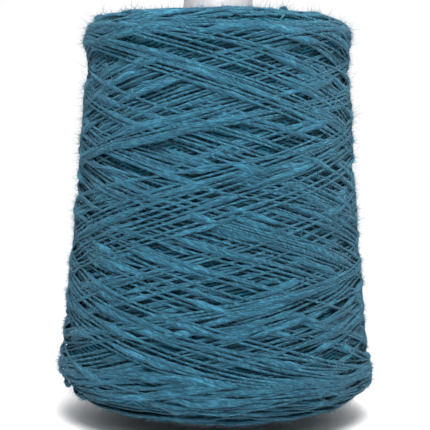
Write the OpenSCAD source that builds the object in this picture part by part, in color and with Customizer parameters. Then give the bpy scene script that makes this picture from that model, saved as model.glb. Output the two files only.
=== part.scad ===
// Cone of slub yarn: a cross-wound package on a moulded plastic cone core.
// +Z runs up the cone's axis, and the origin is the centre of the base rim's
// standing face.

/* [Core] */
// Length of the core along its axis
core_length = 230; // [190:5:290]
// Angle between the core's wall and its axis
core_half_angle = 4.3333; // [3:0.1:6]
// Outer diameter of the core at its nose, the small end
nose_od = 37; // [33:0.5:46]
// Wall thickness of the conical shell
core_wall = 2.2; // [1.6:0.1:2.8]
// Wall thickness of the nose ring, at the nose
nose_wall = 3.5; // [3:0.1:5]
// Length of the straight bore in the nose ring
nose_bore_l = 12; // [8:1:16]
// Radius that rounds both edges of the nose, so that yarn slides over it
nose_round = 1.4; // [0.8:0.1:1.6]
// Number of fine grip grooves round the outside, under the yarn
grip_grooves = 24; // [8:1:32]
// Depth of each grip groove
grip_depth = 0.35; // [0.2:0.05:0.6]

/* [Base] */
// Bore of the adapter ring inside the base
adapter_d = 56; // [46:0.5:58]
// Wall thickness of the adapter ring
adapter_wall = 1.8; // [1.2:0.1:2.4]
// Length of the adapter ring along the axis
adapter_h = 14; // [10:1:20]
// Number of webs that join the adapter ring to the shell
web_count = 12; // [6:1:16]
// Thickness of each web
web_t = 1.6; // [1.3:0.1:2]
// How far the webs' edges sit inside the two ends of the adapter ring
web_recess = 1.2; // [0.5:0.1:3]
// Thickness of the low ribs up the inside of the shell, one above each web
rib_t = 1; // [0.8:0.1:1.2]
// How far the ribs stand off the inside of the shell
rib_h = 1.2; // [0.8:0.1:2]
// Chamfer on the outer edge of the base rim
base_chamfer = 0.6; // [0.3:0.1:1]

/* [Tail groove] */
// Height of the groove's middle above the standing face
groove_z = 5.4; // [4.5:0.1:6.5]
// Depth of the groove
groove_depth = 0.7; // [0.4:0.1:1]
// Number of notches in the base rim that can hold the yarn's first end
notch_count = 4; // [2:1:8]
// Width of each notch
notch_w = 1.8; // [1.5:0.1:2.4]

/* [Yarn] */
// Diameter of the yarn's thin stretches
yarn_d = 1.2; // [0.8:0.1:1.4]
// Turns of the transfer tail, the yarn's first end, round the groove
tail_turns = 3; // [2:1:3]
// How far neighbouring turns of the tail press into each other
tail_squash = 0.05; // [0.02:0.01:0.1]

/* [Package] */
// Diameter of the package at its lower edge
package_base_d = 167.6; // [140:1:200]
// Diameter of the package at its upper edge
package_top_d = 138.8; // [110:1:165]
// Height of the package's lowest yarn above the standing face
package_low_z = 8.5; // [8:0.5:14]
// Bare length of core left between the package's top and the nose
bare_nose = 13.2; // [8:0.1:25]
// How high the lower end face curves up to the side
base_bulge_h = 16; // [8:1:24]
// How far inside the lower edge that curve starts
base_bulge_w = 31.8; // [15:0.1:36]
// How far the lower end face rises from its lowest ring to the core
base_dish = 4; // [1:0.5:5]
// How far the side curves over at the top
top_bulge_h = 4.6; // [2:0.1:12]
// How far inside the upper edge that curve ends
top_bulge_w = 15; // [12:0.5:30]
// How far the upper end face falls from its highest ring to the core
top_dish = 3.3; // [1:0.1:6]
// Depth of the outermost windings on the side
outer_depth = 8; // [5:0.5:11]
// Depth of the outermost windings on the two end faces
end_depth = 4; // [3:0.5:6]

/* [Hidden] */

$fn = 96;
taper = tan(core_half_angle);
nose_r = nose_od / 2;
base_r = nose_r + core_length * taper;
nose_bore_r = nose_r - nose_wall;
web_low = web_recess;
web_high = adapter_h - web_recess;
wind_gap = 0.1;         // between nested solids of yarn, and between yarn and core
join = 0.4;             // how deep one moulded feature runs into another
over = 1;               // how far a cutting shape runs past a face
round_steps = 6;        // straight pieces in each rounded edge of the core
bulge_steps = 10;       // straight pieces in each curved end of the package
dish_steps = 6;         // straight pieces in each dished end face
groove_floor = tail_turns * yarn_d + 2 * wind_gap;
groove_low = groove_z - (groove_floor + groove_depth) / 2;
groove_high = groove_z + (groove_floor + groove_depth) / 2;
package_high_z = core_length - bare_nose;
base_edge_r = package_base_d / 2;
top_edge_r = package_top_d / 2;

// Outer radius of the core at height z
function core_r(z) = base_r - z * taper;
// Radius of the inside of the shell at height z
function inside_r(z) = core_r(z) - core_wall;
// Points of an elliptical quarter about c, from angle a to angle b
function arc(c, rx, ry, a, b, n) =
    [for (i = [0 : n]) let (t = a + (b - a) * i / n) c + [rx * cos(t), ry * sin(t)]];
// Share from 0 to 1 of a smooth S between two levels
function ease(t) = (1 - cos(180 * t)) / 2;

// ---------- the core ----------

// Outside of the core from the base rim up to the nose, with its grooves
function core_outside() = let (
    grip_low = package_low_z + base_dish + over,
    grip_step = (package_high_z - top_dish - over - grip_low) / grip_grooves
) concat(
    [[core_r(0) - base_chamfer, 0], [core_r(base_chamfer), base_chamfer]],
    [[core_r(groove_low), groove_low],
     [core_r(groove_low) - groove_depth, groove_low + groove_depth / 2],
     [core_r(groove_high) - groove_depth, groove_high - groove_depth / 2],
     [core_r(groove_high), groove_high]],
    [for (i = [0 : grip_grooves - 1]) let (z = grip_low + (i + 0.5) * grip_step)
        each [[core_r(z - grip_depth), z - grip_depth],
              [core_r(z) - grip_depth, z],
              [core_r(z + grip_depth), z + grip_depth]]]
);

// Section of the shell with its nose ring
module shell_section() {
    nose_low = core_length - nose_round - nose_bore_l;
    step = inside_r(nose_low) - nose_bore_r;
    polygon(concat(
        core_outside(),
        arc([nose_r - nose_round, core_length - nose_round],
            nose_round, nose_round, 0, 90, round_steps),
        arc([nose_bore_r + nose_round, core_length - nose_round],
            nose_round, nose_round, 90, 180, round_steps),
        [[nose_bore_r, nose_low],
         [inside_r(nose_low - step), nose_low - step],
         [inside_r(0), 0]]
    ));
}

// A flat plate that stands on the axis, with this outline and thickness
module plate(outline, t) rotate([90, 0, 0]) translate([0, 0, -t / 2])
    linear_extrude(t) polygon(outline);

// One web between the adapter ring and the shell
module web() {
    inner = adapter_d / 2 + adapter_wall - join;
    plate([
        [inner, web_low], [inside_r(web_low) + join, web_low],
        [inside_r(web_high) + join, web_high], [inner, web_high]
    ], web_t);
}

// One low rib up the inside of the shell, from the webs to the nose ring
module rib() {
    low = web_high - join;
    high = core_length - nose_round - nose_bore_l - over;
    plate([
        [inside_r(low) - rib_h, low], [inside_r(low) + join, low],
        [inside_r(high) + join, high], [inside_r(high) - rib_h, high]
    ], rib_t);
}

module cone_core() color("white") difference() {
    union() {
        rotate_extrude() shell_section();
        difference() {
            cylinder(r = adapter_d / 2 + adapter_wall, h = adapter_h);
            translate([0, 0, -over])
                cylinder(d = adapter_d, h = adapter_h + 2 * over);
        }
        for (i = [0 : web_count - 1]) rotate([0, 0, (i + 0.5) * 360 / web_count]) {
            web();
            rib();
        }
    }
    for (i = [0 : notch_count - 1]) rotate([0, 0, i * 360 / notch_count])
        translate([inside_r(0) - join, -notch_w / 2, -over])
            cube([core_wall + 2 * join, notch_w, over + groove_low + groove_depth / 2]);
}

// ---------- the wound yarn ----------

// Outline of the package's half section, taken in by side on its side and by
// end on its two end faces. It starts and ends on the bore, over the core, and
// its two curves start and end at the same radii however far it is taken in.
function package_outline(side, end) = let (
    low = package_low_z + end,
    high = package_high_z - end,
    low_ring = base_edge_r - base_bulge_w,
    high_ring = top_edge_r - top_bulge_w,
    low_bore = core_r(low + base_dish) + wind_gap,
    high_bore = core_r(high - top_dish) + wind_gap
) concat(
    [for (i = [0 : dish_steps - 1]) let (t = i / dish_steps)
        [low_bore + (low_ring - low_bore) * t, low + base_dish * (1 - ease(t))]],
    arc([low_ring, low + base_bulge_h], base_bulge_w - side, base_bulge_h,
        -90, 0, bulge_steps),
    arc([high_ring, high - top_bulge_h], top_bulge_w - side, top_bulge_h,
        0, 90, bulge_steps),
    [for (i = [1 : dish_steps]) let (t = i / dish_steps)
        [high_ring + (high_bore - high_ring) * t, high - top_dish * ease(t)]]
);

// The same points from last to first
function reversed(points) = [for (i = [len(points) - 1 : -1 : 0]) points[i]];

// The bulk of the yarn, wound straight onto the core
module inner_windings() color([0.10, 0.30, 0.39])
    rotate_extrude() polygon(package_outline(outer_depth, end_depth));

// The last windings to be laid, which are the ones that show
module outer_windings() color([0.16, 0.45, 0.56]) rotate_extrude() polygon(concat(
    package_outline(0, 0),
    reversed(package_outline(outer_depth - wind_gap, end_depth - wind_gap))
));

// ---------- the transfer tail ----------

// Close turns in the groove, pressed into one coil
module transfer_tail() color([0.16, 0.45, 0.56]) rotate_extrude() {
    pitch = yarn_d - tail_squash;
    for (i = [0 : tail_turns - 1]) let (z = groove_z + (i - (tail_turns - 1) / 2) * pitch)
        translate([core_r(z) - groove_depth + wind_gap + yarn_d / 2, z])
            circle(d = yarn_d);
}

cone_core();
inner_windings();
outer_windings();
transfer_tail();
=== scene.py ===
"""Cone of slub yarn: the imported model, with its yarn laid turn by turn over the core."""

import math

import bmesh
import bpy
import numpy as np
from mathutils import Matrix, Vector


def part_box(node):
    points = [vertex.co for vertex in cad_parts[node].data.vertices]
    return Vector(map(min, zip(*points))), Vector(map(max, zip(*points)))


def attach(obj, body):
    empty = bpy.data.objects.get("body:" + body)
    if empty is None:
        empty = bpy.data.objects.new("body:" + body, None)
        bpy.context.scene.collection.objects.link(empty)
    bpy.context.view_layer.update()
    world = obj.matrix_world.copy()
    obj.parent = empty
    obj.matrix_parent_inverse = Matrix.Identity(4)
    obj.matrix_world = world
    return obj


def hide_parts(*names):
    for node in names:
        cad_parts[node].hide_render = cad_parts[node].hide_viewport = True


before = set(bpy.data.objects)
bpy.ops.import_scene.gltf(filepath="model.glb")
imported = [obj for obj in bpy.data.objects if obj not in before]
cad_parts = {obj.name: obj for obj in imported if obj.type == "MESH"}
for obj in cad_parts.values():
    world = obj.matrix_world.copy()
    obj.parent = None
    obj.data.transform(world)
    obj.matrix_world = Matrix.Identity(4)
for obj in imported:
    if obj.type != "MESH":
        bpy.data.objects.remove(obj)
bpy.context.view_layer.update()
scene = bpy.context.scene


# ---------- Camera ----------
# A long lens a little above the middle of the cone, level with it but for a slight
# look down. The picture is turned a little, so the cone leans to the right.
camera_distance = 0.6232
camera_height = 0.1364
look_down = math.radians(2.42)
camera_roll = math.radians(0.57)
lens_length = 95.36
side_shift = -0.0025

camera_data = bpy.data.cameras.new("camera")
camera_data.lens = lens_length
camera_data.shift_x = side_shift
camera = bpy.data.objects.new("camera", camera_data)
camera.matrix_world = (
    Matrix.Translation((0, -camera_distance, camera_height))
    @ Matrix.Rotation(math.pi / 2 - look_down, 4, "X")
    @ Matrix.Rotation(camera_roll, 4, "Z")
)
scene.collection.objects.link(camera)
scene.camera = camera


# ---------- Studio ----------
# A white table in a white room. A disc lamp hangs close to the cone, in front of it and
# above, and soft light comes from the front and, evenly, from straight above.
table_size = 12.0
table_white = (0.92, 0.92, 0.93, 1)
table_roughness = 0.6
key_from = Vector((0.12, -0.76, 1.0))
key_strength = 1.15
key_softness = math.radians(55)
top_strength = 1.35
top_softness = math.radians(50)
lamp_place = Vector((0.04, -0.44, 0.56))
lamp_aim = Vector((0, 0, 0.15))
lamp_size = 0.35
lamp_power = 7.0
room_front, room_back = 0.16, 0.90
room_turn_from, room_turn_to = -0.12, 0.55

scene.view_settings.view_transform = "Standard"

table_shape = bmesh.new()
bmesh.ops.create_grid(table_shape, x_segments=1, y_segments=1, size=table_size / 2)
table_mesh = bpy.data.meshes.new("table")
table_shape.to_mesh(table_mesh)
table_shape.free()
table = bpy.data.objects.new("table", table_mesh)
scene.collection.objects.link(table)
table_paint = bpy.data.materials.new("table_paint")
table_paint.use_nodes = True
table_surface = table_paint.node_tree.nodes["Principled BSDF"]
table_surface.inputs["Base Color"].default_value = table_white
table_surface.inputs["Roughness"].default_value = table_roughness
table_mesh.materials.append(table_paint)

key_data = bpy.data.lights.new("key", "SUN")
key_data.energy = key_strength
key_data.angle = key_softness
key = bpy.data.objects.new("key", key_data)
key.matrix_world = key_from.to_track_quat("Z", "Y").to_matrix().to_4x4()
scene.collection.objects.link(key)

top_data = bpy.data.lights.new("top", "SUN")
top_data.energy = top_strength
top_data.angle = top_softness
top = bpy.data.objects.new("top", top_data)
scene.collection.objects.link(top)

lamp_data = bpy.data.lights.new("lamp", "AREA")
lamp_data.shape = "DISK"
lamp_data.size = lamp_size
lamp_data.energy = lamp_power
lamp = bpy.data.objects.new("lamp", lamp_data)
lamp.matrix_world = Matrix.Translation(lamp_place) @ (
    (lamp_place - lamp_aim).to_track_quat("Z", "Y").to_matrix().to_4x4()
)
scene.collection.objects.link(lamp)

room = bpy.data.worlds.new("room")
room.use_nodes = True
room_nodes, room_links = room.node_tree.nodes, room.node_tree.links
room_surface = room_nodes["Background"]
room_surface.inputs["Color"].default_value = (1, 1, 1, 1)
facing = room_nodes.new("ShaderNodeSeparateXYZ")
room_links.new(room_nodes.new("ShaderNodeTexCoord").outputs["Generated"], facing.inputs["Vector"])
room_level = room_nodes.new("ShaderNodeMapRange")
room_level.inputs["From Min"].default_value = room_turn_from
room_level.inputs["From Max"].default_value = room_turn_to
room_level.inputs["To Min"].default_value = room_front
room_level.inputs["To Max"].default_value = room_back
room_links.new(facing.outputs["Y"], room_level.inputs["Value"])
seen = room_nodes.new("ShaderNodeMath")
seen.operation = "MAXIMUM"
room_links.new(room_nodes.new("ShaderNodeLightPath").outputs["Is Camera Ray"], seen.inputs[0])
room_links.new(room_level.outputs["Result"], seen.inputs[1])
room_links.new(seen.outputs["Value"], room_surface.inputs["Strength"])
scene.world = room


# ---------- Core ----------
# One injection moulding in polypropylene, pale grey-white and satin, with a faint
# mottle from the mould and scuffs from many trips over metal pegs.
core_white = (0.360, 0.352, 0.366, 1)
core_scuffed = (0.295, 0.288, 0.302, 1)
mottle_scale, scuff_scale = 90.0, 420.0
core_gloss = (0.32, 0.55)


def noise_of(nodes, links, source, scale, detail=3.0, roughness=0.55):
    """A noise texture that reads these coordinates, and its value."""
    texture = nodes.new("ShaderNodeTexNoise")
    texture.inputs["Scale"].default_value = scale
    texture.inputs["Detail"].default_value = detail
    texture.inputs["Roughness"].default_value = roughness
    links.new(source, texture.inputs["Vector"])
    return texture.outputs["Fac"]


def core_plastic():
    """Satin white plastic, duller and greyer where it has rubbed."""
    material = bpy.data.materials.new("core_plastic")
    material.use_nodes = True
    nodes, links = material.node_tree.nodes, material.node_tree.links
    surface = nodes["Principled BSDF"]
    place = nodes.new("ShaderNodeTexCoord").outputs["Object"]
    mottle = noise_of(nodes, links, place, mottle_scale)
    scuff = noise_of(nodes, links, place, scuff_scale, detail=6.0)
    tint = nodes.new("ShaderNodeMix")
    tint.data_type = "RGBA"
    tint.inputs["A"].default_value = core_white
    tint.inputs["B"].default_value = core_scuffed
    blend = nodes.new("ShaderNodeMapRange")
    blend.inputs["From Min"].default_value = 0.45
    blend.inputs["From Max"].default_value = 0.80
    blend.inputs["To Max"].default_value = 0.5
    links.new(mottle, blend.inputs["Value"])
    links.new(blend.outputs["Result"], tint.inputs["Factor"])
    links.new(tint.outputs["Result"], surface.inputs["Base Color"])
    gloss = nodes.new("ShaderNodeMapRange")
    gloss.inputs["To Min"].default_value = core_gloss[0]
    gloss.inputs["To Max"].default_value = core_gloss[1]
    links.new(scuff, gloss.inputs["Value"])
    links.new(gloss.outputs["Result"], surface.inputs["Roughness"])
    bump = nodes.new("ShaderNodeBump")
    bump.inputs["Strength"].default_value = 0.25
    bump.inputs["Distance"].default_value = 0.0001
    links.new(scuff, bump.inputs["Height"])
    links.new(bump.outputs["Normal"], surface.inputs["Normal"])
    surface.inputs["Subsurface Weight"].default_value = 0.08
    surface.inputs["Subsurface Radius"].default_value = (0.002, 0.002, 0.002)
    return material


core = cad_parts["cone_core"]
core.data.materials.clear()
core.data.materials.append(core_plastic())


# ---------- Yarn's own material, with painted shade on deeper turns ---
# Spun from dyed staple fibre, matt and softly hairy: thin stretches of two plies
# twisted together, and slubs, which are thick soft stretches of loose, hardly
# twisted fibre.
teal = (0.0160, 0.0790, 0.1240, 1)
teal_deep = (0.0066, 0.0320, 0.0530, 1)
teal_pale = (0.0400, 0.181, 0.270, 1)
sheen_tint = (0.45, 0.82, 1.0, 1)
# painted shade: the dark colour that deeper turns are mixed towards
shade_colour = (0.0026, 0.019, 0.030, 1)
strand_scale = (2.7, 0.30)
patch_scale = (0.25, 0.03)
strand_share, patch_share = 0.7, 0.3
ply_height, strand_height = 0.6, 2.2
yarn_sheen, fuzz_sheen = 0.16, 0.5


def maths_in(nodes, links):
    """A function that adds a math node to this tree and returns its value."""
    def math_of(operation, *values):
        made = nodes.new("ShaderNodeMath")
        made.operation = operation
        for socket, value in zip(made.inputs, values):
            if isinstance(value, (int, float)):
                socket.default_value = value
            else:
                links.new(value, socket)
        return made.outputs["Value"]

    return math_of


def spun_fibre():
    """A node group for the look of spun fibre. It reads the cosine and sine of the
    place round the yarn with the length along it in millimetres, the turn that the
    twist has given it there, 1 where the yarn is a slub, and how deep it lies in the
    shade of other turns, which darkens its colour as painted shade. It puts out a
    colour and a height."""
    group = bpy.data.node_groups.new("spun_fibre", "ShaderNodeTree")
    nodes, links = group.nodes, group.links
    group.interface.new_socket("Fibre", in_out="INPUT", socket_type="NodeSocketVector")
    for name in ("Twist", "Slub", "Depth"):
        group.interface.new_socket(name, in_out="INPUT", socket_type="NodeSocketFloat")
    group.interface.new_socket("Colour", in_out="OUTPUT", socket_type="NodeSocketColor")
    group.interface.new_socket("Height", in_out="OUTPUT", socket_type="NodeSocketFloat")
    given, result = nodes.new("NodeGroupInput"), nodes.new("NodeGroupOutput")
    math_of = maths_in(nodes, links)

    def drawn_out(source, across, along):
        stretch = nodes.new("ShaderNodeMapping")
        stretch.inputs["Scale"].default_value = (across, across, along)
        links.new(source, stretch.inputs["Vector"])
        return stretch.outputs["Vector"]

    parts = nodes.new("ShaderNodeSeparateXYZ")
    links.new(given.outputs["Fibre"], parts.inputs["Vector"])
    around = math_of("ARCTAN2", parts.outputs["Y"], parts.outputs["X"])
    turned = math_of("ADD", around, given.outputs["Twist"])
    twisted = nodes.new("ShaderNodeCombineXYZ")
    links.new(math_of("COSINE", turned), twisted.inputs["X"])
    links.new(math_of("SINE", turned), twisted.inputs["Y"])
    links.new(parts.outputs["Z"], twisted.inputs["Z"])

    # fibres drawn out along the yarn, in strands of lighter and darker dye
    place = twisted.outputs["Vector"]
    strands = noise_of(nodes, links, drawn_out(place, *strand_scale), 1.0, 4.0, 0.65)
    patches = noise_of(nodes, links, drawn_out(place, *patch_scale), 1.0, 2.0)
    fine, broad = math_of("MULTIPLY", strands, strand_share), math_of("MULTIPLY", patches, patch_share)
    mixed = math_of("ADD", fine, broad)
    shade = nodes.new("ShaderNodeValToRGB")
    low, high = shade.color_ramp.elements
    low.position, low.color = 0.38, teal_deep
    high.position, high.color = 0.62, teal_pale
    middle = shade.color_ramp.elements.new(0.50)
    middle.color = teal
    links.new(mixed, shade.inputs["Fac"])
    # painted shade: deeper turns are darkened towards the shade colour, as they lie in the shade of the
    # others
    shaded = nodes.new("ShaderNodeMix")
    shaded.data_type = "RGBA"
    shaded.inputs["B"].default_value = shade_colour
    links.new(given.outputs["Depth"], shaded.inputs["Factor"])
    links.new(shade.outputs["Color"], shaded.inputs["A"])
    links.new(shaded.outputs["Result"], result.inputs["Colour"])

    # the two plies stand out on thin yarn, and loose fibre everywhere
    thin = math_of("SUBTRACT", 1.0, given.outputs["Slub"])
    plies = math_of("MULTIPLY", math_of("SINE", math_of("MULTIPLY", turned, 2.0)), thin)
    plied = math_of("MULTIPLY", plies, ply_height)
    height = math_of("ADD", plied, math_of("MULTIPLY", strands, strand_height))
    links.new(height, result.inputs["Height"])
    return group


fibre_look = spun_fibre()


def slub_yarn(name, sheen):
    """The yarn's material, which reads the attributes fibre, twist, slub and depth; depth sets its
    painted shade.
    """
    material = bpy.data.materials.new(name)
    material.use_nodes = True
    nodes, links = material.node_tree.nodes, material.node_tree.links
    surface = nodes["Principled BSDF"]
    look = nodes.new("ShaderNodeGroup")
    look.node_tree = fibre_look
    for socket in ("Fibre", "Twist", "Slub", "Depth"):
        source = nodes.new("ShaderNodeAttribute")
        source.attribute_name = socket.lower()
        links.new(source.outputs["Vector" if socket == "Fibre" else "Fac"], look.inputs[socket])
    links.new(look.outputs["Colour"], surface.inputs["Base Color"])
    bump = nodes.new("ShaderNodeBump")
    bump.inputs["Distance"].default_value = 0.0003
    links.new(look.outputs["Height"], bump.inputs["Height"])
    links.new(bump.outputs["Normal"], surface.inputs["Normal"])
    surface.inputs["Roughness"].default_value = 0.9
    surface.inputs["Specular IOR Level"].default_value = 0.15
    surface.inputs["Sheen Weight"].default_value = sheen
    surface.inputs["Sheen Roughness"].default_value = 0.45
    surface.inputs["Sheen Tint"].default_value = sheen_tint
    return material


yarn_finish = slub_yarn("slub_yarn", yarn_sheen)
fuzz_finish = slub_yarn("yarn_fuzz", fuzz_sheen)


# ---------- The package's shape ----------
# The surface that the yarn which shows is laid on, as a meridian that runs from the
# core out over the lower end, up the side and in over the upper end. In millimetres.
pack_low, pack_high = (np.array(corner) * 1000 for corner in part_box("outer_windings"))
core_base_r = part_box("cone_core")[1][0] * 1000
core_half_angle = math.radians(4.3333)
top_edge_r = 69.4
bed_depth = 3.2
laid_depth = bed_depth * 0.8
low_room, high_room = 0.5, 1.0
edge_low_r = pack_high[0] - bed_depth
edge_high_r = top_edge_r - bed_depth
low_z = pack_low[2] + laid_depth + low_room
high_z = pack_high[2] - laid_depth - high_room
low_curve = (29.5, 15.0)
high_curve = (12.0, 3.6)
low_dish, high_dish = 4.0, 3.3
shoulder_bulge, shoulder_below, shoulder_spread = 1.8, 11, 6.5
neck_waist, neck_below, neck_spread = 0.9, 27, 8
side_waist = 1.0
side_inset = 6
bore_gap = 0.3
profile_step = 0.5
low_fullness, fullness_z, fullness_spread = 1.6, 22, 9
front_dip, dip_spread, dip_narrow = 1.9, 12, 6


def core_radius(z):
    """Outer radius of the core at this height."""
    return core_base_r - z * math.tan(core_half_angle)


def smooth_step(t):
    """From 0 to 1, level at both ends."""
    t = np.clip(t, 0, 1)
    return t * t * (3 - 2 * t)


def meridian():
    """Radius and height along the meridian, at even steps of its length."""
    low_ring = edge_low_r - low_curve[0]
    high_ring = edge_high_r - high_curve[0]
    t = np.linspace(0, 1, 40)
    low_bore = core_radius(low_z + low_dish) + bore_gap
    high_bore = core_radius(high_z - high_dish) + bore_gap
    quarter = t * math.pi / 2
    side_from, side_to = low_z + low_curve[1], high_z - high_curve[1]
    side_z = np.linspace(side_from, side_to, 200)[1:-1]
    side_r = np.interp(side_z, (side_from, side_to), (edge_low_r, edge_high_r))
    r = np.concatenate([
        low_bore + (low_ring - low_bore) * t[:-1],
        low_ring + low_curve[0] * np.sin(quarter),
        side_r,
        high_ring + high_curve[0] * np.cos(quarter),
        high_ring + (high_bore - high_ring) * t[1:],
    ])
    z = np.concatenate([
        low_z + low_dish * (1 - smooth_step(t[:-1])),
        low_z + low_curve[1] * (1 - np.cos(quarter)),
        side_z,
        side_to + high_curve[1] * np.sin(quarter),
        high_z - high_dish * smooth_step(t[1:]),
    ])
    # the reversals heap up into a low shoulder at the top, and the side is a little hollow
    shoulder = np.exp(-(((z - high_z + shoulder_below) / shoulder_spread) ** 2))
    r += shoulder_bulge * shoulder * (r > edge_high_r - side_inset)
    r -= neck_waist * np.exp(-(((z - high_z + neck_below) / neck_spread) ** 2))
    up = np.clip((z - side_from) / (side_to - side_from), 0, 1)
    r -= side_waist * np.sin(math.pi * up) ** 2 * (r > edge_high_r - side_inset)
    length = np.concatenate([[0], np.cumsum(np.hypot(np.diff(r), np.diff(z)))])
    steps = np.linspace(0, length[-1], int(length[-1] / profile_step))
    return steps, np.interp(steps, length, r), np.interp(steps, length, z)


profile_s, profile_r, profile_z = meridian()
slope_r, slope_z = np.gradient(profile_r, profile_s), np.gradient(profile_z, profile_s)
for _ in range(6):
    slope_r[1:-1] = (slope_r[:-2] + 2 * slope_r[1:-1] + slope_r[2:]) / 4
    slope_z[1:-1] = (slope_z[:-2] + 2 * slope_z[1:-1] + slope_z[2:]) / 4
total_s = profile_s[-1]
low_edge_s = profile_s[np.argmax(profile_z > low_z + low_curve[1])]
high_edge_s = profile_s[np.argmax(profile_z > high_z - high_curve[1])]


def dip(z, theta):
    """How much lower the rim of the top is on the side that faces -Y."""
    near_top = np.exp(-(((z - high_z) / dip_spread) ** 2))
    return front_dip * near_top * ((1 - np.sin(theta)) / 2) ** dip_narrow


def on_package(s, theta, height):
    """Points this far along the meridian, round the axis and out from the bed, and the
    package's own normals there."""
    r, z = np.interp(s, profile_s, profile_r), np.interp(s, profile_s, profile_z)
    # the package is a little fuller near its foot on one side
    near_foot = np.exp(-(((z - fullness_z) / fullness_spread) ** 2))
    r = r + low_fullness * near_foot * (1 + np.cos(theta)) / 2
    z = z - dip(z, theta)
    nr, nz = np.interp(s, profile_s, slope_z), -np.interp(s, profile_s, slope_r)
    size = np.hypot(nr, nz)
    nr, nz = nr / size, nz / size
    out = np.stack([np.cos(theta), np.sin(theta)], -1)
    normal = np.concatenate([out * nr[:, None], nz[:, None]], -1)
    point = np.concatenate([out * r[:, None], z[:, None]], -1)
    return point + normal * height[:, None], normal


# ---------- Under-windings ----------
# The yarn that the outermost turns are laid on, as one solid of close, pressed turns. It
# is seen only in the gaps between them.
under_steps = 128
# painted shade: under_dark is the shade in the grooves between the deep strands
under_dark = (0.0042, 0.032, 0.051, 1)
under_pale = (0.0180, 0.128, 0.195, 1)
under_spacing = 0.0021
under_starts = 66
under_wander, under_wander_scale = 9.0, 60.0
under_crossing_scale = 45.0
under_lift, under_lift_spread = 0.3, 14
under_high_lift, under_low_lift = 1.4, 0.9
under_gap = 0.0002

under_shape = bmesh.new()
under_s = np.linspace(0, total_s, 150)
under_raise = under_lift + under_high_lift * np.exp(-(((under_s - high_edge_s) / under_lift_spread) ** 2))
under_raise += under_low_lift * np.exp(-(((under_s - low_edge_s) / under_lift_spread) ** 2))
under_line, _ = on_package(under_s, 0 * under_s + math.pi, under_raise)
under_r, under_z = -under_line[:, 0] / 1000, under_line[:, 2] / 1000
bore_low = core_radius(under_z[0] * 1000) / 1000 + under_gap
bore_high = core_radius(under_z[-1] * 1000) / 1000 + under_gap
outline = list(zip(under_r, under_z)) + [(bore_high, under_z[-1]), (bore_low, under_z[0])]
ring = [under_shape.verts.new((r, 0, z)) for r, z in outline]
edges = [under_shape.edges.new((a, b)) for a, b in zip(ring, ring[1:] + ring[:1])]
bmesh.ops.spin(
    under_shape,
    geom=ring + edges,
    axis=(0, 0, 1),
    cent=(0, 0, 0),
    angle=2 * math.pi,
    steps=under_steps,
    use_merge=True,
)
bmesh.ops.remove_doubles(under_shape, verts=under_shape.verts, dist=1e-6)
for vert in under_shape.verts:
    level = vert.co.z * 1000
    vert.co.z += (dip(level, math.pi) - dip(level, math.atan2(vert.co.y, vert.co.x))) / 1000
bmesh.ops.recalc_face_normals(under_shape, faces=under_shape.faces)
under_mesh = bpy.data.meshes.new("under_windings")
under_shape.to_mesh(under_mesh)
under_shape.free()
under_mesh.shade_smooth()
under = bpy.data.objects.new("under_windings", under_mesh)
scene.collection.objects.link(under)


def under_yarn():
    """Deep turns of the same yarn, in shade: close strands that cross both ways, with painted shade in
    the grooves between them.
    """
    material = bpy.data.materials.new("under_yarn")
    material.use_nodes = True
    nodes, links = material.node_tree.nodes, material.node_tree.links
    surface = nodes["Principled BSDF"]
    place = nodes.new("ShaderNodeTexCoord").outputs["Object"]
    math_of = maths_in(nodes, links)
    parts = nodes.new("ShaderNodeSeparateXYZ")
    links.new(place, parts.inputs["Vector"])
    around = math_of("ARCTAN2", parts.outputs["Y"], parts.outputs["X"])
    drift = noise_of(nodes, links, place, under_wander_scale, detail=2.0)
    wander = math_of("MULTIPLY", drift, under_wander)
    climb = math_of("MULTIPLY", parts.outputs["Z"], 2 * math.pi / under_spacing)
    climb = math_of("ADD", climb, wander)
    ridges = []
    for turns in (under_starts, -under_starts):
        wave = math_of("SINE", math_of("ADD", climb, math_of("MULTIPLY", around, turns)))
        ridges.append(math_of("ADD", math_of("MULTIPLY", wave, 0.5), 0.5))
    above = nodes.new("ShaderNodeMapRange")
    above.inputs["From Min"].default_value = 0.46
    above.inputs["From Max"].default_value = 0.54
    links.new(noise_of(nodes, links, place, under_crossing_scale), above.inputs["Value"])
    strands = nodes.new("ShaderNodeMix")
    links.new(above.outputs["Result"], strands.inputs["Factor"])
    links.new(ridges[0], strands.inputs["A"])
    links.new(ridges[1], strands.inputs["B"])
    # dark in the grooves between the strands: painted shade
    shade = nodes.new("ShaderNodeValToRGB")
    shade.color_ramp.elements[0].position = 0.05
    shade.color_ramp.elements[0].color = under_dark
    shade.color_ramp.elements[1].position = 0.75
    shade.color_ramp.elements[1].color = under_pale
    links.new(strands.outputs["Result"], shade.inputs["Fac"])
    links.new(shade.outputs["Color"], surface.inputs["Base Color"])
    bump = nodes.new("ShaderNodeBump")
    bump.inputs["Distance"].default_value = 0.0012
    links.new(strands.outputs["Result"], bump.inputs["Height"])
    links.new(bump.outputs["Normal"], surface.inputs["Normal"])
    surface.inputs["Roughness"].default_value = 0.95
    surface.inputs["Specular IOR Level"].default_value = 0.08
    return material


under_finish = under_yarn()
under_mesh.materials.append(under_finish)
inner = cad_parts["inner_windings"]
inner.data.materials.clear()
inner.data.materials.append(under_finish)
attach(under, "root")
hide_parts("outer_windings")


# ---------- Windings ----------
# One yarn, laid back and forth at a shallow angle while the cone turns. Each stretch
# rests on what is already there, bridges the gaps and sinks a little into soft slubs.
dice = np.random.default_rng(11)
step = 1.5
cell = 0.8
columns = 640
rows = int(total_s / cell) + 2
heights = np.zeros((rows, columns))
sides = 10
thin_width, thin_thick = 0.60, 0.54
thin_pitch, slub_pitch = 5.5, 45.0
slub_width = (1.0, 1.95)
slub_flat = 0.68
slub_length = (18, 56)
slub_gap = (25, 125)
slub_end = (0.25, 0.5)
first_slub_by = 60
rough_thin, rough_slub = 0.06, 0.16
bridge_radius = 26.0
sink = 0.12


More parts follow.
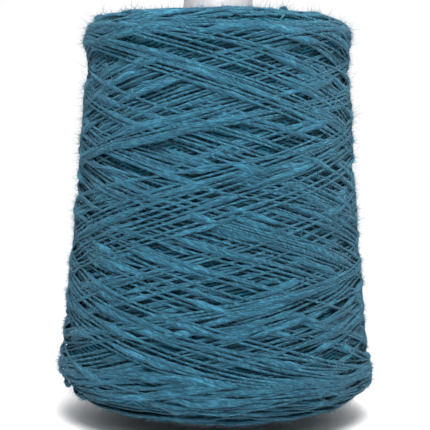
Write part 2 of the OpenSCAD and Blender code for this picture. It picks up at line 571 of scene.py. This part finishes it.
def yarn_shape(count, sparse):
    """Half widths, half thicknesses, how much of a slub the yarn is and how far it has
    been twisted, at every step."""
    width = np.full(count, thin_width)
    fat = np.zeros(count)
    along = dice.uniform(0, first_slub_by)
    while along < count * step:
        length = dice.uniform(*slub_length)
        peak = dice.uniform(*slub_width)
        rise = dice.uniform(*slub_end) * length
        fall = dice.uniform(*slub_end) * length
        x = np.arange(count) * step - along
        body = smooth_step(x / rise) * smooth_step((length - x) / fall)
        width = np.maximum(width, thin_width + (peak - thin_width) * body)
        fat = np.maximum(fat, body)
        along += length + dice.uniform(*slub_gap) * sparse
    rough = dice.normal(0, 1, count)
    for _ in range(3):
        rough = np.convolve(rough, (0.25, 0.5, 0.25), "same")
    width *= 1 + rough * (rough_thin + rough_slub * fat)
    thick = width * (thin_thick / thin_width + (slub_flat - thin_thick / thin_width) * fat)
    twist = np.cumsum(2 * math.pi * step / (thin_pitch + (slub_pitch - thin_pitch) * fat**0.5))
    return width, thick, fat, twist


def taut(need):
    """The height of a taut yarn that touches the points it needs to clear. Between two
    of them it runs straight, which on a round package is a shallow dip."""
    x = np.arange(len(need)) * step
    lifted = need - x * x / (2 * bridge_radius)
    kept = []
    for i in range(len(need)):
        while len(kept) > 1:
            a, b = kept[-2], kept[-1]
            if (lifted[b] - lifted[a]) * (i - b) > (lifted[i] - lifted[b]) * (b - a):
                break
            kept.pop()
        kept.append(i)
    rest = np.interp(x, x[kept], lifted[kept]) + x * x / (2 * bridge_radius)
    for _ in range(2):
        rest[1:-1] = (rest[:-2] + 2 * rest[1:-1] + rest[2:]) / 4
    return rest


def cells_under(s, theta, width, share):
    """The rows and columns that a stretch of yarn covers, at these shares of its half
    width to both sides of its middle."""
    r = np.interp(s, profile_s, profile_r)
    ds, dl = np.gradient(s), np.gradient(theta) * r
    size = np.hypot(ds, dl) + 1e-9
    row = ((s + share * width * dl / size) / cell).astype(int).clip(0, rows - 1)
    turn = (theta - share * width * ds / size / r) / (2 * math.pi)
    return row, (turn * columns).astype(int) % columns


def firmness(fat):
    """The share of its height that yarn keeps under later turns: less in a slub."""
    return 0.8 - 0.35 * fat


def lay(s, theta, width, thick, fat):
    """Rests a stretch of yarn on the heights so far, adds it to them and returns the
    height of its middle."""
    share = np.linspace(-0.95, 0.95, 9)[:, None]
    cells = cells_under(s, theta, width, share)
    rise = thick * np.sqrt(1 - share**2)
    need = (heights[cells] + rise).max(0) - sink * thick * (1 + fat)
    rest = taut(need)
    np.maximum.at(heights, cells, rest + firmness(fat) * rise)
    return rest


def even_steps(s, theta):
    """The same path with its points a step apart."""
    r = np.interp(s, profile_s, profile_r)
    piece = np.hypot(np.diff(s), np.diff(theta) * (r[1:] + r[:-1]) / 2)
    length = np.concatenate([[0], np.cumsum(piece)])
    at = np.arange(0, length[-1], step)
    return np.interp(at, length, s), np.interp(at, length, theta)


def eased_ramp(x, ease):
    """From 0 to 1 at an even rate, with both ends eased over this share."""
    x = np.clip(x, 0, 1)
    low = x * x / (2 * ease)
    high = 1 - ease - (1 - x) ** 2 / (2 * ease)
    return np.where(x < ease, low, np.where(x > 1 - ease, high, x - ease / 2)) / (1 - ease)


laid = []
arc_turns = (0.3, 0.75)
arc_drift = (0.5, 1.5)
arc_bend = (0.6, 1.2)
bore_margin = 0.8


def wind(s, theta, sparse):
    """Lays one path and keeps it for the meshes. Its slubs come this sparsely."""
    s, theta = even_steps(s, theta)
    width, thick, fat, twist = yarn_shape(len(s), sparse)
    rest = lay(s, theta, width, thick, fat)
    laid.append([s, theta, rest, width, thick, fat, twist])


def end_arcs(tips, reach):
    """The loops of an end face, where the yarn turned back, from the oldest outwards.
    Each is an arc whose middle is its tip and whose ends go under the loops after it."""
    for tip in tips:
        x = np.linspace(-1, 1, 200)
        turns = dice.uniform(*arc_turns)
        start = dice.uniform(0, 2 * math.pi)
        theta = start + x * turns * math.pi * dice.choice((-1, 1))
        drift = dice.uniform(*arc_drift) * reach
        bend = np.interp(x, (-1, 0, 1), (dice.uniform(*arc_bend), 0, dice.uniform(*arc_bend)))
        wind(np.clip(tip + drift * bend**2, bore_margin, total_s - bore_margin), theta, 1)


low_arcs, high_arcs = 120, 105
low_reach, high_reach = 9.0, -7.0
low_overlap, high_overlap = 6, 12
low_tips = np.sort(dice.uniform(1.0, low_edge_s + low_overlap, low_arcs))
end_arcs(low_tips, low_reach)
high_tips = np.sort(dice.uniform(high_edge_s - high_overlap, total_s - 1.0, high_arcs))
end_arcs(high_tips[::-1], high_reach)

passes = 200
usual_turns, turns_spread = 1.42, 0.10
flat_chance, flat_turns = 0.14, (1.9, 2.9)
follow_chance = 0.7
pair_gap = 2.4
usual_radius, usual_climb = 75, math.radians(16)
longest_dwell = 1.3
dwell_tries = 18
tip_spread = 3.5
low_past, high_past, turn_creep = 7, 5, 5
turn_ease = 0.11
wobble_knots, wobble_size = 26, 0.3
early_age, early_sparse, late_sparse = 0.4, 0.35, 1.3
settle_rows, settle_columns = 7, 18

starts, turns_used, tips_used = [], [], []
follow, end_theta, end_s = 0, 0.0, 0.0
for k in range(passes):
    age = k / passes
    up = k % 2 == 0
    follows = follow > 0 and k > 2
    if follows:
        turns = turns_used[k - 2]
        tip = tips_used[k - 2] + dice.normal(0, 0.5)
        follow -= 1
    else:
        turns = usual_turns + dice.uniform(-turns_spread, turns_spread)
        if dice.random() < flat_chance:
            turns = dice.uniform(*flat_turns)
        if up and dice.random() < follow_chance:
            follow = dice.choice((2, 2, 4))
    # the cone turns on a little before the yarn comes back: beside the pass before
    # last, or else to wherever the package is thinnest
    x = np.linspace(0, 1, 600)
    knots = dice.normal(0, wobble_size, wobble_knots)
    wobble = np.interp(x, np.linspace(0, 1, wobble_knots), knots) * np.sin(math.pi * x)
    swept = 2 * math.pi * turns * x

    def reach(tip):
        """The pass's place along the meridian, when it turns back this far in."""
        low_tip = low_edge_s - low_past + turn_creep * age + abs(tip)
        high_tip = high_edge_s + high_past - turn_creep * age - abs(tip)
        ramp = eased_ramp(x, turn_ease)
        return low_tip + (high_tip - low_tip) * (ramp if up else 1 - ramp) + wobble

    dwell = math.inf
    if follows:
        beside = starts[k - 2] + pair_gap / usual_radius / math.sin(usual_climb)
        dwell = (beside - end_theta) % (2 * math.pi)
    if dwell > longest_dwell:
        waits = dice.uniform(0.05, longest_dwell, dwell_tries)
        tips = dice.normal(0, tip_spread, dwell_tries)
        piled = []
        for wait, tip in zip(waits, tips):
            row = (reach(tip)[::5] / cell).astype(int)
            turned = (end_theta + wait + swept[::5]) / (2 * math.pi)
            column = (turned * columns).astype(int) % columns
            piled.append((heights[row, column] * (1 + np.abs(2 * x[::5] - 1))).mean())
        best = int(np.argmin(piled))
        dwell, tip = waits[best], tips[best]
    s = reach(tip)
    turns_used.append(turns)
    tips_used.append(tip)
    starts.append(end_theta + dwell)
    theta = end_theta + dwell + swept
    if k > 0:
        held = np.linspace(0, 1, 40)[:-1]
        bow = dice.normal(0, 0.8) * np.sin(held * math.pi)
        over = end_s + (s[0] - end_s) * smooth_step(held) + bow
        theta = np.concatenate([end_theta + held * dwell, theta])
        s = np.concatenate([over, s])
    end_theta, end_s = theta[-1], s[-1]
    wind(s, theta, early_sparse if age < early_age else late_sparse)


# Wound yarn gives under tension, so where the turns heap up they also press down:
# the package keeps an even surface at anything wider than a few turns.
def blurred(grid, along_s, along_theta):
    """The grid averaged over this many rows and columns, closed round the axis."""
    wave = np.fft.rfftfreq(columns)[None]
    turned = np.fft.rfft(grid, axis=1) * np.exp(-2 * (math.pi * along_theta * wave) ** 2)
    grid = np.fft.irfft(turned, columns, axis=1)
    reach = np.arange(-3 * along_s, 3 * along_s + 1)
    weight = np.exp(-0.5 * (reach / along_s) ** 2)
    padded = np.pad(grid, ((3 * along_s, 3 * along_s), (0, 0)), mode="edge")
    total = sum(w * padded[i:i + rows] for i, w in enumerate(weight))
    return total / weight.sum()


settled = blurred(heights, settle_rows, settle_columns) - laid_depth


def settle(s, theta):
    """How far the yarn has sunk at these places, read between the cells."""
    row = np.clip(s / cell, 0, rows - 1.001)
    column = theta / (2 * math.pi) * columns
    r0, c0 = row.astype(int), np.floor(column).astype(int)
    fr, fc = row - r0, column - c0
    total = 0
    for i, wi in ((0, 1 - fr), (1, fr)):
        for j, wj in ((0, 1 - fc), (1, fc)):
            total = total + wi * wj * settled[r0 + i, (c0 + j) % columns]
    return total


# nothing stands far off the package, as the tension pulls it in
firm_height = laid_depth - 0.4
# yarn with its top between these two heights over the bed is partly in the shade, which is painted into
# its colour
shade_from, shade_to, deepest_shade = laid_depth - 1.6, laid_depth + 0.2, 0.66
# what is buried is left out, but for short stretches between two that show
visible_depth = 0.15
shortest_run = 7


def shown(s, theta, rest, width, thick, fat, twist):
    """The first and last steps of each run of a laid path that shows."""
    share = np.linspace(-0.9, 0.9, 7)[:, None]
    cells = cells_under(s, theta, width, share)
    top_of = rest + firmness(fat) * thick * np.sqrt(1 - share**2)
    seen_here = (top_of > heights[cells] - visible_depth).any(0)
    wide = np.convolve(seen_here, np.ones(shortest_run), "same") > 0
    gaps = np.flatnonzero(np.diff(np.concatenate([[0], wide.astype(int), [0]])))
    return [(a, b) for a, b in gaps.reshape(-1, 2) if b - a >= shortest_run]


lump_thin, lump_slub = 0.03, 0.26
tip_steps = 3.0


def tube_mesh(name, tubes, round_sides):
    """One mesh of closed tubes. Each tube is its middle points, the directions across
    and out of the package, half widths, half thicknesses, the slub share, the length
    along the yarn, the twist and the depth, which sets its painted shade. Both ends
    shrink to a point."""
    points, fibres, slubs, twists, depths, quads = [], [], [], [], [], []
    count = 0
    phi = np.arange(round_sides) * 2 * math.pi / round_sides
    lump_dice = np.random.default_rng(5)
    for centre, across, out, width, thick, fat, start, twist, depth in tubes:
        n = len(centre)
        lumps = lump_dice.normal(0, 1, (n + 4, round_sides))
        lumps = (lumps[:-4] + lumps[1:-3] + lumps[2:-2] + lumps[3:-1] + lumps[4:]) / 5
        lumps = 1 + (lump_thin + lump_slub * fat)[:, None] * lumps
        pull = np.minimum(1, np.minimum(np.arange(n), np.arange(n)[::-1]) / tip_steps)
        pull = np.sqrt(pull)
        rim = (
            centre[:, None]
            + across[:, None] * ((width * pull)[:, None] * lumps * np.cos(phi))[..., None]
            + out[:, None] * ((thick * pull)[:, None] * lumps * np.sin(phi))[..., None]
        )
        points.append(rim.reshape(-1, 3))
        fibre = np.broadcast_arrays(np.cos(phi)[None], np.sin(phi)[None], start[:, None])
        fibres.append(np.stack(fibre, -1).reshape(-1, 3))
        slubs.append(np.repeat(fat, round_sides))
        twists.append(np.repeat(twist, round_sides))
        depths.append(np.repeat(depth, round_sides))
        i = np.arange(n - 1)[:, None] * round_sides + count
        k = np.arange(round_sides)[None]
        after = (k + 1) % round_sides
        corners = [i + k, i + round_sides + k, i + round_sides + after, i + after]
        quads.append(np.stack(corners, -1).reshape(-1, 4))
        count += n * round_sides
    points = np.concatenate(points) / 1000
    quads = np.concatenate(quads)
    mesh = bpy.data.meshes.new(name)
    mesh.vertices.add(len(points))
    mesh.vertices.foreach_set("co", points.astype(np.float32).ravel())
    mesh.loops.add(quads.size)
    mesh.loops.foreach_set("vertex_index", quads.astype(np.int32).ravel())
    mesh.polygons.add(len(quads))
    mesh.polygons.foreach_set("loop_start", np.arange(0, quads.size, 4, dtype=np.int32))
    mesh.update(calc_edges=True)
    attribute = mesh.attributes.new("fibre", "FLOAT_VECTOR", "POINT")
    attribute.data.foreach_set("vector", np.concatenate(fibres).astype(np.float32).ravel())
    for kind, values in (("slub", slubs), ("twist", twists), ("depth", depths)):
        attribute = mesh.attributes.new(kind, "FLOAT", "POINT")
        attribute.data.foreach_set("value", np.concatenate(values).astype(np.float32))
    shape = bmesh.new()
    shape.from_mesh(mesh)
    bmesh.ops.remove_doubles(shape, verts=shape.verts, dist=1e-7)
    shape.to_mesh(mesh)
    shape.free()
    mesh.shade_smooth()
    return mesh


def tubes_of(path, start):
    """The tubes of what shows of one laid path."""
    s, theta, rest, width, thick, fat, twist = path
    lengths = np.arange(len(s)) * step
    height = rest - settle(s, theta)
    proud = np.maximum(height - firm_height, 0)
    centre, normal = on_package(s, theta, height - proud * (1 - 1 / (1 + proud / 2)))
    # painted shade: how much darker the yarn's colour is made, by how deep its top lies
    lit = smooth_step((height + thick - shade_from) / (shade_to - shade_from))
    depth = deepest_shade * (1 - lit)
    along = np.gradient(centre, axis=0)
    along /= np.linalg.norm(along, axis=1)[:, None]
    out = normal - (normal * along).sum(1)[:, None] * along
    out /= np.linalg.norm(out, axis=1)[:, None]
    across = np.cross(along, out)
    tubes = []
    for a, b in shown(*path):
        # thin stretches are even, so they need fewer rings than slubs and ends do
        at = np.arange(a, b)
        at = at[(fat[a:b] > 0.05) | (at % 3 == 0) | (at - a < 3) | (b - at < 4)]
        tubes.append([
            part[at] for part in (centre, across, out, width, thick, fat, lengths + start, twist, depth)
        ])
    return tubes


# a slub that has sprung up out of the top rim
crest_turn, crest_half_turn = math.radians(-52), 0.075
crest_in, crest_drift = 14, 1.5
crest_foot, crest_arch = 2.2, 2.4
crest_thin, crest_fat = 0.6, 1.1
u = np.linspace(-1, 1, 13)
arch = 1 - u * u
crest_theta = crest_turn + crest_half_turn * u
crest_s = high_edge_s + crest_in + crest_drift * u
centre, normal = on_package(crest_s, crest_theta, crest_foot + crest_arch * arch)
ahead = np.gradient(centre, axis=0)
ahead /= np.linalg.norm(ahead, axis=1)[:, None]
aside = np.cross(ahead, normal)
aside /= np.linalg.norm(aside, axis=1)[:, None]
crest_size = crest_thin + crest_fat * arch
crest = [
    centre, aside, np.cross(aside, ahead),
    crest_size, crest_size * 0.8, arch, 8 + 5 * u, 0.5 * u, 0 * u,
]

most_rings = 9600
batch, batches, rings, start = [crest], [], len(u), 0.0
for path in laid:
    for tube in tubes_of(path, start):
        if rings + len(tube[0]) > most_rings:
            batches.append(batch)
            batch, rings = [], 0
        batch.append(tube)
        rings += len(tube[0])
    start = (start + len(path[0]) * step) % 4000
batches.append(batch)

for number, batch in enumerate(batches, 1):
    mesh = tube_mesh(f"windings_{number}", batch, sides)
    mesh.materials.append(yarn_finish)
    piece = bpy.data.objects.new(f"windings_{number}", mesh)
    scene.collection.objects.link(piece)
    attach(piece, "root")


# ---------- Transfer tail ----------
# The yarn's first end: it comes up through a notch in the base rim, goes three times
# round the groove and climbs from there into the windings above.
tail_turns = 3
tail_pitch = 1.15
tail_size = 0.58
tail_squash = 0.9
tail_from_z, tail_middle_z = 0.6, 5.4
groove_depth, notch_depth = 0.7, 0.9
notch_angle = math.radians(4)
climb_angle = math.radians(70)
climb_to_z, climb_to_r = 11.0, 38.0
tail_step = 1.2

turns = np.linspace(0, tail_turns, 300)
coil_z = tail_middle_z + (turns - tail_turns / 2) * tail_pitch * tail_squash
coil_theta = notch_angle + turns * 2 * math.pi
coil_r = core_radius(coil_z) - groove_depth + tail_size
enter = np.linspace(0, 1, 12)[:-1]
leave = np.linspace(0, 1, 40)[1:]
tail_z = np.concatenate([
    tail_from_z + (coil_z[0] - tail_from_z) * enter,
    coil_z,
    coil_z[-1] + (climb_to_z - coil_z[-1]) * smooth_step(leave),
])
tail_theta = np.concatenate([
    notch_angle * enter**2,
    coil_theta,
    coil_theta[-1] + climb_angle * leave,
])
notch_r = core_radius(tail_from_z) - notch_depth
tail_r = np.concatenate([
    notch_r + (coil_r[0] - notch_r) * enter,
    coil_r,
    coil_r[-1] + (climb_to_r - coil_r[-1]) * smooth_step(leave * 1.4),
])
tail_line = np.stack([tail_r * np.cos(tail_theta), tail_r * np.sin(tail_theta), tail_z], -1)
tail_length = np.concatenate([[0], np.cumsum(np.linalg.norm(np.diff(tail_line, axis=0), axis=1))])
tail_at = np.arange(0, tail_length[-1], tail_step)
tail_line = np.stack([np.interp(tail_at, tail_length, tail_line[:, k]) for k in range(3)], -1)
tail_along = np.gradient(tail_line, axis=0)
tail_along /= np.linalg.norm(tail_along, axis=1)[:, None]
tail_out = tail_line * (1, 1, 0)
tail_out /= np.linalg.norm(tail_out, axis=1)[:, None]
tail_across = np.cross(tail_along, tail_out)
tail_across /= np.linalg.norm(tail_across, axis=1)[:, None]
tail_even = np.full(len(tail_at), tail_size)
tail_tube = [
    tail_line, tail_across, np.cross(tail_across, tail_along),
    tail_even, tail_even, 0 * tail_even, tail_at, tail_at * 2 * math.pi / thin_pitch, 0 * tail_at,
]
tail_mesh = tube_mesh("tail", [tail_tube], sides)
tail_mesh.materials.append(yarn_finish)
tail = bpy.data.objects.new("tail", tail_mesh)
scene.collection.objects.link(tail)
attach(tail, "root")
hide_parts("transfer_tail")


# ---------- Fuzz ----------
# Loose fibre ends that stand off the yarn all over the package: a few long ones that
# curl, and many short stiff ones. Each kind is a count, its rings, and its shortest and
# longest fibre.
fuzz_kinds = (
    (12800, 3, 2.0, 5.8),
    (54000, 1, 1.6, 4.2),
    (54000, 1, 0.8, 2.4),
)
fuzz_radius, fuzz_tip = 0.075, 0.6
fuzz_root = 0.1
fuzz_lowest = 0.5
fuzz_lean = 1.1
fuzz_along, fuzz_away, fuzz_stray = 0.6, (0.4, 1.4), 0.3
fuzz_curl, fuzz_droop = 0.4, (0, 0.4)

# fibres come from wide yarn more than from thin, and hardly from yarn in the shade
all_tubes = [tube for batch in batches for tube in batch]
spots = [np.concatenate([tube[k] for tube in all_tubes]) for k in range(6)]
shaded = np.concatenate([tube[8] for tube in all_tubes]) / deepest_shade
hairy = spots[3] * (1 - shaded) ** 3
fuzz_dice = np.random.default_rng(23)
for number, (fuzz_each, fuzz_rings, shortest, longest) in enumerate(fuzz_kinds, 1):
    pick = fuzz_dice.choice(len(spots[0]), fuzz_each, p=hairy / hairy.sum())
    centre, across, out, width, thick, fat = (spot[pick] for spot in spots)
    lean = fuzz_dice.uniform(-fuzz_lean, fuzz_lean, fuzz_each)
    root = (
        centre
        + across * (width * np.sin(lean))[:, None]
        + out * (thick * np.cos(lean) - fuzz_root)[:, None]
    )
    away = out * np.cos(lean)[:, None] + across * np.sin(lean)[:, None]
    along = np.cross(across, out) * fuzz_dice.choice((-1, 1), fuzz_each)[:, None]
    length = fuzz_dice.uniform(shortest, longest, fuzz_each) * fuzz_dice.uniform(0.5, 1, fuzz_each)
    first = along * fuzz_along + away * fuzz_dice.uniform(*fuzz_away, fuzz_each)[:, None]
    first += fuzz_dice.normal(0, fuzz_stray, (fuzz_each, 3))
    curl = fuzz_dice.normal(0, fuzz_curl, (fuzz_each, 3))
    curl -= away * fuzz_dice.uniform(*fuzz_droop, fuzz_each)[:, None]
    u = np.linspace(0, 1, fuzz_rings + 1)[None, :, None]
    line = root[:, None] + length[:, None, None] * (u * first[:, None] + u * u * curl[:, None])
    line[..., 2] = np.maximum(line[..., 2], fuzz_lowest)
    one = np.cross(first, away + 0.3)
    one /= np.linalg.norm(one, axis=1)[:, None]
    two = np.cross(first, one)
    two /= np.linalg.norm(two, axis=1)[:, None]
    turn = np.arange(3) * 2 * math.pi / 3
    spoke = one[:, None, None] * np.cos(turn)[None, None, :, None]
    spoke = spoke + two[:, None, None] * np.sin(turn)[None, None, :, None]
    thinner = np.linspace(1, fuzz_tip, fuzz_rings)[None, :, None, None]
    rims = line[:, :-1, None] + fuzz_radius * thinner * spoke
    # each fibre is rings of three and a tip
    points = np.concatenate([rims.reshape(fuzz_each, -1, 3), line[:, -1:]], 1)
    base = np.arange(fuzz_each)[:, None, None] * (fuzz_rings * 3 + 1)
    k = np.arange(3)[None, None]
    i = base + np.arange(fuzz_rings - 1)[None, :, None] * 3
    after = (k + 1) % 3
    quads = np.stack(np.broadcast_arrays(i + k, i + after, i + 3 + after, i + 3 + k), -1)
    i = base + (fuzz_rings - 1) * 3
    tips = np.stack(np.broadcast_arrays(i + k, i + after, i + 3), -1)
    mesh = bpy.data.meshes.new(f"fuzz_{number}")
    faces = quads.reshape(-1, 4).tolist() + tips.reshape(-1, 3).tolist()
    mesh.from_pydata((points.reshape(-1, 3) / 1000).tolist(), [], faces)
    mesh.shade_smooth()
    mesh.materials.append(fuzz_finish)
    piece = bpy.data.objects.new(f"fuzz_{number}", mesh)
    scene.collection.objects.link(piece)
    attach(piece, "root")
